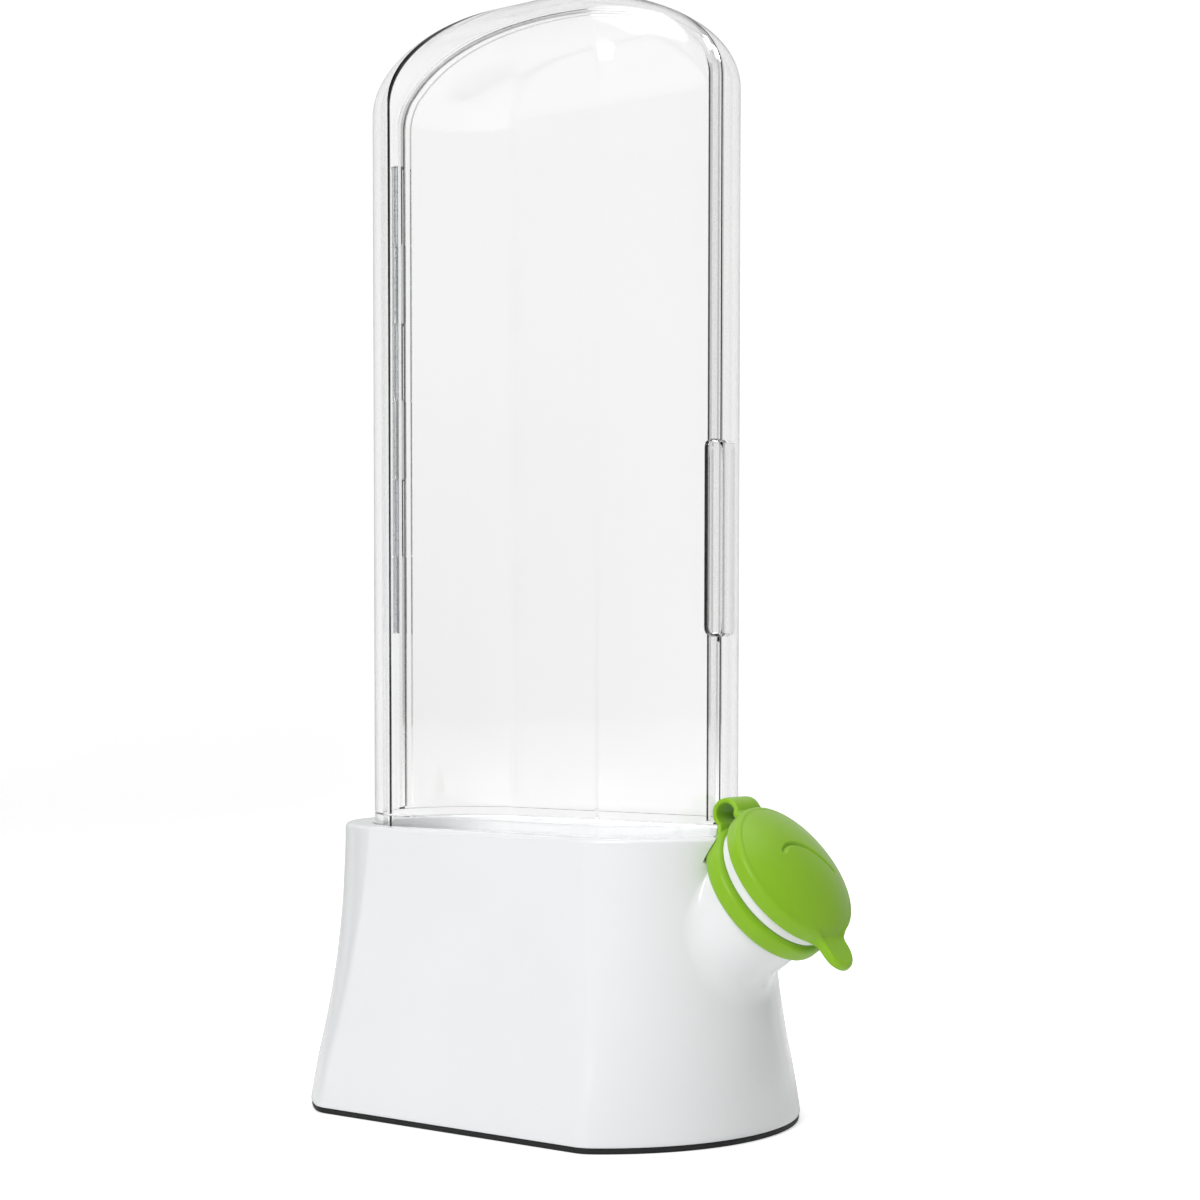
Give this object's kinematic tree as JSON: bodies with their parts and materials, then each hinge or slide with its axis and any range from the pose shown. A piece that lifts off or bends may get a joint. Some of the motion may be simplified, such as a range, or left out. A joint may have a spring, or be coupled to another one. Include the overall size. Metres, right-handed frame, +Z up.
{
  "type": "herb keeper",
  "caption": "Upright clear herb storage pod with a side door, standing in a white water base with a slanted filler neck and a hinged silicone cap.",
  "frame": {"origin": "centre of the foot's underside, on the rest plane", "axes": "+Z up, +X towards the filler neck, -Y towards the door side of the pod"},
  "size_m": [0.1531, 0.0854, 0.278],
  "materials": {
    "white_plastic": "glossy",
    "floor_plastic": "satin",
    "foot_rubber": "matte",
    "clear_plastic": "clear",
    "pin_steel": "satin",
    "green_silicone": "satin"
  },
  "bodies": {
    "base": {"base_shell": "white_plastic", "base_floor": "floor_plastic", "foot_ring": "foot_rubber", "cap_collar": "green_silicone", "cap_strap": "green_silicone"},
    "pod": {"pod_body": "clear_plastic", "hinge_pin": "pin_steel"},
    "door": {"pod_door": "clear_plastic"},
    "cap": {"cap": "green_silicone"}
  },
  "joints": [
    {"name": "pod_lift", "type": "slide", "parent": "base", "child": "pod", "axis": [0, 0, 1], "range_m": [0, 0.075]},
    {"name": "door_hinge", "type": "hinge", "parent": "pod", "child": "door", "pos_m": [-0.0531, 0, 0.18], "axis": [0, 0, 1], "range_deg": [-110, 0]},
    {"name": "cap_hinge", "type": "hinge", "parent": "base", "child": "cap", "pos_m": [0.05617, 0, 0.07737], "axis": [0, -1, 0], "range_deg": [0, 110], "deforming": ["cap_strap"]}
  ]
}
